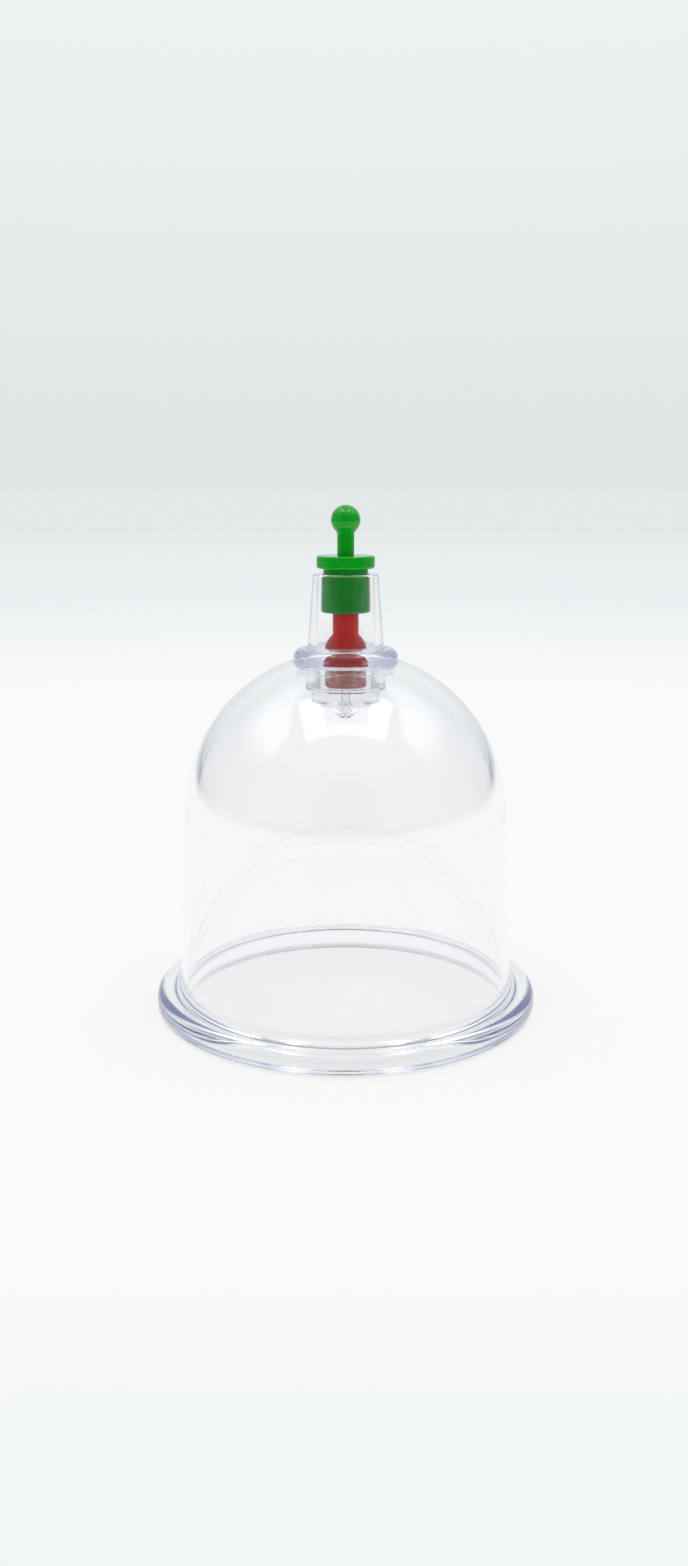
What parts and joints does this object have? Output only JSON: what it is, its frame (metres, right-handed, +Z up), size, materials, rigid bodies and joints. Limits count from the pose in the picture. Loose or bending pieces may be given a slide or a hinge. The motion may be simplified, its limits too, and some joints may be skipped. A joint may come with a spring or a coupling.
{
  "type": "vacuum cupping cup",
  "caption": "Clear bell-shaped suction cup with a rounded lip and a lift valve in its crown, worked by a ball-ended pull rod that carries a rubber stopper.",
  "frame": {"origin": "middle of the mouth, on the plane of the lip's resting face", "axes": "+Z up along the axis of the bell and the valve, from the mouth to the ball; the cup is a figure of revolution, so +X and +Y are any two level directions"},
  "size_m": [0.066, 0.066, 0.0858],
  "materials": {
    "clear_plastic": "polished clear moulding, colourless with a faint violet-blue edge",
    "green_plastic": "glossy, slightly translucent moulding",
    "red_rubber": "satin soft rubber"
  },
  "bodies": {
    "cup": {"cup_bell": "clear_plastic", "valve_housing": "clear_plastic", "seat_cap": "clear_plastic"},
    "valve": {"pull_rod": "green_plastic", "stopper": "red_rubber"}
  },
  "joints": [
    {"name": "valve_lift", "type": "slide", "parent": "cup", "child": "valve", "axis": [0, 0, 1], "range_m": [0, 0.0015]}
  ]
}
